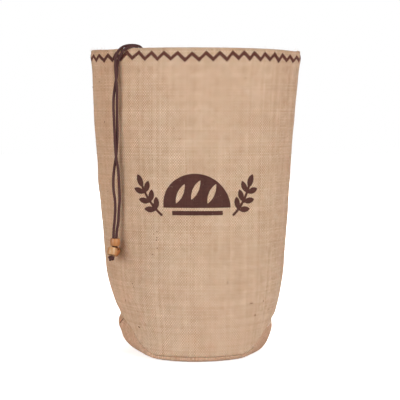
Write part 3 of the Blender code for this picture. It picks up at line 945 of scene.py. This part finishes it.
def bead_profile(bore_radius, mouth_radius):
    """A bead's closed half section: bore, lip, rounded shoulder and barrel side."""
    radius = BEAD_DIAMETER / 2
    half = BEAD_LENGTH / 2
    shoulder = radius - BEAD_BARREL - BEAD_EDGE
    upper = [
        (bore_radius, 0.0),
        (bore_radius, half - 0.0014),
        (bore_radius + 0.0002, half - 0.0008),
        (mouth_radius - 0.0002, half - 0.0001),
        (mouth_radius + 0.0001, half),
    ]
    for turn in np.radians(np.linspace(86, 0, 9)):
        upper.append((shoulder + BEAD_EDGE * math.cos(turn), half - BEAD_EDGE * (1 - math.sin(turn))))
    upper += [(radius - 0.0001, 0.0014), (radius, 0.0)]
    return upper + [(across, -up) for across, up in reversed(upper[1:-1])]


def make_bead(name, place, lean_forward, lean_right, bore_radius, mouth_radius, material):
    turns = full_turn(BEAD_SIDES)
    rings = []
    for across, up in bead_profile(bore_radius, mouth_radius):
        rings.append(np.column_stack([across * np.cos(turns), across * np.sin(turns), np.full(BEAD_SIDES, up)]))
    made = add_skins(name + "_wood", [rings], material)
    made.location = place
    made.rotation_euler = (math.radians(lean_forward), math.radians(lean_right), 0)
    return dress(made, name)


def make_knot(name, place, radius, turn, material):
    """An overhand knot drawn tight: a trefoil of cord."""
    at = np.linspace(0, 2 * math.pi, 120)
    line = np.column_stack([np.sin(at) + 2 * np.sin(2 * at), -np.sin(3 * at) * 1.5, np.cos(at) - 2 * np.cos(2 * at)])
    line = line * ((radius - KNOT_CORD_RADIUS) / 3.0) * np.array(KNOT_STRETCH)
    spin = Euler((math.radians(KNOT_LEAN), 0, math.radians(turn))).to_matrix()
    line = line @ np.array(spin).T + np.array(place) - (0, 0, KNOT_DROP)
    made = add_cord(name + "_tied", line, KNOT_CORD_RADIUS, KNOT_CORD_SIDES, material)
    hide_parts(name)
    return made


def zigzag_tips():
    """The zigzag's tips all round, as distance round the rim from the back seam and depth under the rim."""
    dense = BACK_ANGLE + np.linspace(0, 2 * math.pi, 3601)
    reach = ring_length(dense[:-1], HEIGHT - 0.010)
    total = reach[-1]
    front = [(np.interp(math.radians(angle), dense, reach), depth) for angle, depth in ZIGZAG_FRONT]
    gap = total - front[-1][0] + front[0][0]
    halves = round(gap / ZIGZAG_PITCH) * 2
    tips = list(front)
    for number in range(1, halves):
        depth = ZIGZAG_HIGH if number % 2 else ZIGZAG_LOW
        jitter = rng.normal(0, 0.25)
        tips.append(((front[-1][0] + gap * number / halves) % total, depth + jitter))
    tips.sort()
    return np.array(tips), dense, reach, total


def make_zigzag(material):
    """The embroidered zigzag: close satin stitches, each an upright raised thread, following the zigzag."""
    tips, dense, reach, total = zigzag_tips()
    tips = np.concatenate([tips[-1:] - (total, 0), tips, tips[:1] + (total, 0)])
    around, depth = tips[:, 0], tips[:, 1] / 1000
    centre = np.where(depth < ZIGZAG_MIDDLE, depth + CENTRE_FROM_TIP, depth - CENTRE_FROM_TIP)
    count = round(total / THREAD_STEP)
    place = (np.arange(count) + 0.5) / count * total
    drop = np.interp(place, around, centre)
    row = np.searchsorted(around, place) - 1
    run = around[row + 1] - around[row]
    fall = centre[row + 1] - centre[row]
    half = np.where(fall > 0, FALLING_WIDTH, RISING_WIDTH) / 2 * np.hypot(run, fall) / run
    half = np.minimum(half, LONGEST_HALF_STITCH) * (1 + rng.normal(0, LENGTH_SPREAD, count))
    drop = drop + rng.normal(0, DROP_SPREAD, count)
    angle = np.interp(place, reach, dense)
    rim = rim_height(angle)
    turns = full_turn(THREAD_SIDES) + math.pi / 2
    lean = rng.normal(0, LEAN_SPREAD, count)
    rows = []
    for part in np.linspace(0, 1, THREAD_ROWS):
        height = rim - drop + half * (1 - 2 * part)
        hump = math.sin(math.pi * part)
        out = outward(angle, height)
        along = np.column_stack([-out[:, 1], out[:, 0], np.zeros(count)])
        here = wall(angle, height, THREAD_SUNK - THREAD_LIFT * hump**0.6)
        here = here + along * (lean * (2 * part - 1))[:, None]
        size = THREAD_RADIUS * (0.55 + 0.45 * hump**0.5)
        rows.append(here[:, None] + size * circles(1.05 * along, out, turns))
    along_thread = np.arange(count)[:, None] * THREAD_SHIFT + np.arange(THREAD_ROWS) * SATIN_ROW
    add_threads("zigzag_stitches", np.stack(rows, axis=1), along_thread, material)


def stitches(name, lines, radius, material):
    """Many short threads in one mesh, one along each line of points."""
    lead = unit(lines[:, -1] - lines[:, 0])
    first = unit(np.cross(lead, (0.31, 0.17, 0.93)))
    ring = radius * circles(first, np.cross(lead, first), full_turn(THREAD_SIDES))
    skins = lines[:, :, None] + ring[:, None]
    along_thread = np.arange(len(lines))[:, None] * THREAD_SHIFT + np.arange(lines.shape[1]) * STITCH_ROW
    add_threads(name, skins, along_thread, material)


def fibres(name, starts, outs, lengths, radius, material):
    """Loose jute hairs: thin curved three-sided tubes, in one mesh."""
    count = len(starts)
    outs = unit(outs)
    side = unit(np.cross(outs, rng.normal(0, 1, (count, 3))))
    bend = rng.uniform(0.1, 0.6, count)
    sag = rng.uniform(-0.25, 0.05, count)
    part = np.linspace(0, 1, HAIR_ROWS)
    reach = lengths[:, None] * part
    lines = starts[:, None] + outs[:, None] * reach[..., None]
    lines += (side * bend[:, None])[:, None] * (reach * part)[..., None]
    lines[..., 2] += reach * part * sag[:, None]
    ring = circles(side, np.cross(outs, side), full_turn(HAIR_SIDES))
    skins = lines[:, :, None] + ring[:, None] * (radius * (1 - 0.7 * part))[:, None, None]
    dress(add_skins(name, skins, material, False))


def grains(name, places, outs, along, lengths, widths, thick, material):
    """Small flattened ellipsoids in one mesh, each with a pole, four rings and a pole."""
    sides = 10
    turns = full_turn(sides)
    flats = circles(along * lengths[:, None] / 2, np.cross(outs, along) * widths[:, None] / 2, turns)
    points = []
    faces = []
    for place, out, flat in zip(places, outs * thick, flats):
        base = len(points)
        points.append(place - out)
        for row in np.radians((-60, -25, 25, 60)):
            points += list(place + flat * math.cos(row) + out * math.sin(row))
        points.append(place + out)
        last = len(points) - 1
        for step in range(sides):
            beside = (step + 1) % sides
            faces.append((base, base + 1 + beside, base + 1 + step))
            for low in range(base + 1, last - sides, sides):
                faces.append((low + step, low + beside, low + sides + beside, low + sides + step))
            faces.append((last - sides + step, last - sides + beside, last))
    dress(add_mesh(name, points, faces, material))


def make_flecks(material):
    """Dark bits of bark caught in the yarns, as flat grains lying on the cloth, and a dark thread painted as the shade
    in the crease on the base's ear.
    """
    angle, height, length, width, tilt = np.array(FLECKS).T
    angles = np.append(np.radians(angle), rng.uniform(0, 2 * math.pi, FLECK_COUNT))
    heights = np.append(height, rng.uniform(*FLECK_HEIGHTS, FLECK_COUNT))
    lengths = np.append(length / 1000, np.clip(rng.gamma(3.0, 0.0004, FLECK_COUNT), 0.0005, 0.003))
    widths = np.append(width / 1000, rng.uniform(0.0003, 0.0006, FLECK_COUNT))
    tilts = np.append(np.radians(tilt), rng.choice([0, math.pi / 2], FLECK_COUNT))[:, None]
    outs = outward(angles, heights)
    around = np.column_stack([-outs[:, 1], outs[:, 0], np.zeros(len(outs))])
    along = around * np.cos(tilts) + np.cross(outs, around) * np.sin(tilts)
    grains("flecks", wall(angles, heights, -0.00005), outs, along, lengths, widths, FLECK_THICKNESS, material)
    (first, low), (last, high) = EAR_CREASE_SHADE
    line = []
    for part in np.linspace(0, 1, 8):
        angle = np.radians([first + (last - first) * part])
        line.append(base_curve(angle, low + (high - low) * part, -0.0001)[0])
    stitches("ear_crease_shade", np.array([line]), CREASE_SHADE_RADIUS, material)


def make_seam_highlight(material):
    """A pale thread painted as the highlight along the seam's right end."""
    angles = np.radians(np.linspace(*SEAM_HIGHLIGHT_ANGLES, 24))
    line = wall(angles, seam_height(angles) + 0.0004, -0.0003)
    line = line + rng.normal(0, 0.00008, line.shape)
    stitches("seam_highlight", line[None], SEAM_HIGHLIGHT_RADIUS, material)


def make_slit(thread, shade):
    """The stitched buttonhole on the hem's inner face, with painted shade over its opening."""
    middle = math.radians(SLIT_ANGLE)
    inset = 2 * CLOTH + HEM_GAP
    near = wall(np.array([middle - 0.01, middle, middle + 0.01]), SLIT_HEIGHT, inset)
    per_radian = np.linalg.norm(near[2] - near[0]) / 0.02
    turns = full_turn(SLIT_STITCHES)
    length = SLIT_STITCH * (1 + rng.normal(0, 0.05, SLIT_STITCHES))
    inner = np.column_stack([SLIT_HALF[0] * np.cos(turns), SLIT_HALF[1] * np.sin(turns)])
    heading = unit(np.column_stack([SLIT_HALF[1] * np.cos(turns), SLIT_HALF[0] * np.sin(turns)]))
    rows = []
    for part in np.linspace(0, 1, THREAD_ROWS):
        flat = inner + heading * (length * part)[:, None]
        lift = 0.0001 + 0.0004 * math.sin(math.pi * part) ** 0.6
        rows.append(wall(middle + flat[:, 0] / per_radian, SLIT_HEIGHT + flat[:, 1], inset + lift))
    stitches("slit_stitches", np.stack(rows, axis=1), SLIT_THREAD_RADIUS, thread)
    inward = -outward(np.array([middle]), SLIT_HEIGHT)
    size = 2 * np.array([SLIT_HALF]) + 0.0008
    grains("slit_opening_shade", near[1:2], inward, unit(near[2:] - near[:1]), size[:, 0], size[:, 1], 0.0001, shade)


def make_allowances(material):
    """The back seam's two turned edges, pressed open against the inner face from the base up to the hem."""
    section = np.array(ALLOWANCE_SECTION) / 1000
    for hand, name in ((1, "allowance_left"), (-1, "allowance_right")):
        order = section[::hand]
        rings = []
        heights = np.linspace(*ALLOWANCE_REACH, ALLOWANCE_ROWS)
        for number, height in enumerate(heights):
            edge = 1 + 0.03 * math.sin(number * 0.9 + hand) * np.clip(order[:, 0] / 0.009, 0, 1)
            angles = BACK_ANGLE - hand * order[:, 0] * edge / BACK_RADIUS
            rings.append(wall(angles, height, CLOTH + 0.00015 + order[:, 1]))
        around = np.append(order[:, 0], order[0, 0]) / YARN * hand + 200.0
        grid = np.stack(np.broadcast_arrays(around, heights[:, None] / YARN), axis=-1)
        caps = np.array(rings)[[0, -1], :, :2] / YARN
        dress(add_skins(name, [rings], material, False, "yarns", [grid], [caps]))


def make_rim_hairs(material):
    angles = rng.uniform(0, 2 * math.pi, RIM_HAIRS)
    turn = rng.uniform(0.3, 2.6, RIM_HAIRS)
    fold = CLOTH + HEM_GAP / 2
    low = rim_height(angles) - fold
    starts = wall(angles, low, fold * (1 - np.cos(turn)), fold * np.sin(turn))
    outs = outward(angles, low) * np.cos(turn)[:, None] + rng.normal(0, 0.7, (RIM_HAIRS, 3))
    outs[:, 2] += np.sin(turn)
    lengths = np.clip(rng.gamma(3.0, 0.0009, RIM_HAIRS), *RIM_HAIR_LENGTHS)
    fibres("rim_hairs", starts, outs, lengths, RIM_HAIR_RADIUS, material)


def make_wall_hairs(material):
    angles = rng.uniform(0, 2 * math.pi, WALL_HAIRS)
    heights = rng.uniform(*WALL_HAIR_HEIGHTS, WALL_HAIRS)
    away = outward(angles, heights)
    outs = away * rng.uniform(0.1, 0.8, WALL_HAIRS)[:, None] + rng.normal(0, 0.6, (WALL_HAIRS, 3))
    facing = np.sum(outs * away, axis=1)[:, None]
    outs = np.where(facing < 0, -outs, outs)
    lengths = np.clip(rng.gamma(2.5, 0.0009, WALL_HAIRS), *WALL_HAIR_LENGTHS)
    fibres("wall_hairs", wall(angles, heights, 0.0001), outs, lengths, WALL_HAIR_RADIUS, material)


def disc(name, height, material):
    """A flat round floor made of rings."""
    steps = 96
    points = [(0.0, 0.0, height)]
    for radius in FLOOR_RADII:
        points += [(radius * math.cos(turn), radius * math.sin(turn), height) for turn in full_turn(steps)]
    faces = []
    for step in range(steps):
        beside = (step + 1) % steps
        faces.append((0, 1 + step, 1 + beside))
        for low in range(1, 1 + (len(FLOOR_RADII) - 1) * steps, steps):
            faces.append((low + step, low + steps + step, low + steps + beside, low + beside))
    return add_mesh(name, points, faces, material, smooth=False)


def hide_from(thing, *rays):
    for ray in rays:
        setattr(thing, "visible_" + ray, False)


def make_floor():
    """A wide pale floor that turns plain white away from the bag, and a white surround that only the camera sees.

    A second disc just under the floor gives the bag its light from below, so the floor can look white.
    """
    n = Nodes("studio_floor")
    place = n.object_place()
    far = n.add("ShaderNodeVectorMath", {0: place}, "Value", operation="LENGTH")
    colour = n.mix(n.noise(place, 900.0), (0.90, 0.90, 0.895), (0.93, 0.93, 0.925))
    glow = {"Emission_Color": (1, 1, 1), "Emission_Strength": n.between(far, *WHITENING, 0.72, 1.0)}
    floor = disc("studio_floor", FLOOR_HEIGHT, n.finish(colour, 0.9, Specular_IOR_Level=0.1, **glow))
    hide_from(floor, "diffuse", "glossy", "shadow")
    bounce = disc("studio_bounce", BOUNCE_HEIGHT, Nodes("studio_bounce").finish((0.80, 0.71, 0.65), 1.0))
    hide_from(bounce, "camera")
    bpy.ops.mesh.primitive_uv_sphere_add(segments=48, ring_count=24, radius=SURROUND_RADIUS)
    surround = bpy.context.object
    surround.name = "studio_surround"
    white = Nodes("studio_white")
    white.feed(white.tree.nodes["Material Output"].inputs["Surface"], white.add("ShaderNodeEmission"))
    white.tree.nodes.remove(white.surface)
    surround.data.materials.append(white.material)
    hide_from(surround, "diffuse", "glossy", "shadow", "transmission")


def make_light(name, azimuth, elevation, size, power, colour):
    """A square soft light aimed at the bag. Azimuth 0 is in front of it and positive is to its right."""
    data = bpy.data.lights.new(name, "AREA")
    data.size = size
    data.energy = power
    data.color = colour
    light = add_object(name, data)
    across, up = math.radians(azimuth), math.radians(elevation)
    heading = Vector((math.sin(across) * math.cos(up), -math.cos(across) * math.cos(up), math.sin(up)))
    light.location = LIGHT_AIM + LIGHT_DISTANCE * heading
    light.rotation_euler = (-heading).to_track_quat("-Z", "Y").to_euler()


def make_lights():
    for row in LIGHTS:
        make_light(*row)
    world = bpy.data.worlds.new("studio")
    world.use_nodes = True
    background = world.node_tree.nodes["Background"]
    background.inputs[0].default_value = WORLD_COLOUR
    background.inputs[1].default_value = WORLD_STRENGTH
    bpy.context.scene.world = world
    bpy.context.scene.view_settings.view_transform = "Standard"


def main():
    make_camera()
    cord_yarn = yarn_material("drawcord", (0.047, 0.018, 0.019), (0.104, 0.039, 0.040), 0.60, 2600.0)
    cords = make_cords(cord_yarn)
    body = make_body(hessian_material("hessian_printed", (0.585, 0.422, 0.292), (0.872, 0.726, 0.576), True))
    # The base's cloth is a darker, redder copy of the body's: painted shade on the base
    base = make_base(hessian_material("hessian_plain_shaded", (0.560, 0.378, 0.256), (0.838, 0.648, 0.505), False))
    # The front bead's paler wood is partly painted light, and the back bead's deeper wood is painted shade
    woods = {
        "bead_slider": wood_material("wood_tan", (0.55, 0.275, 0.103), (0.40, 0.160, 0.055), 3.0, 0.35),
        "bead_front": wood_material("wood_pale_lit", (0.605, 0.435, 0.230), (0.50, 0.23, 0.090), 17.0, 0.85),
        "bead_back": wood_material("wood_deep_shaded", (0.50, 0.200, 0.065), (0.30, 0.095, 0.026), 29.0, 0.3),
    }
    beads = {row[0]: make_bead(*row, woods[row[0]]) for row in BEADS}
    knots = {row[0]: make_knot(*row, cord_yarn) for row in KNOTS}
    thread = yarn_material("zigzag_thread", (0.104, 0.033, 0.026), (0.200, 0.075, 0.056), 0.65, 5200.0)
    make_zigzag(thread)
    # The bark's material also paints the shade in the base's ear crease
    make_flecks(matt_material("bark", (0.22, 0.105, 0.058), 0.9))
    make_slit(thread, matt_material("slit_shade", (0.045, 0.024, 0.018), 1.0))
    make_allowances(hessian_material("hessian_allowance", (0.580, 0.402, 0.274), (0.862, 0.690, 0.540), False))
    # A pale thread painted as the highlight along the seam's right end
    make_seam_highlight(matt_material("pale_highlight", (0.95, 0.86, 0.76), 0.9))
    hair = plain_material("jute_hair", (0.50, 0.32, 0.19), (0.86, 0.66, 0.46), 300.0, 0.8, Sheen_Weight=0.2)
    make_rim_hairs(hair)
    make_wall_hairs(hair)
    make_floor()
    make_lights()


main()
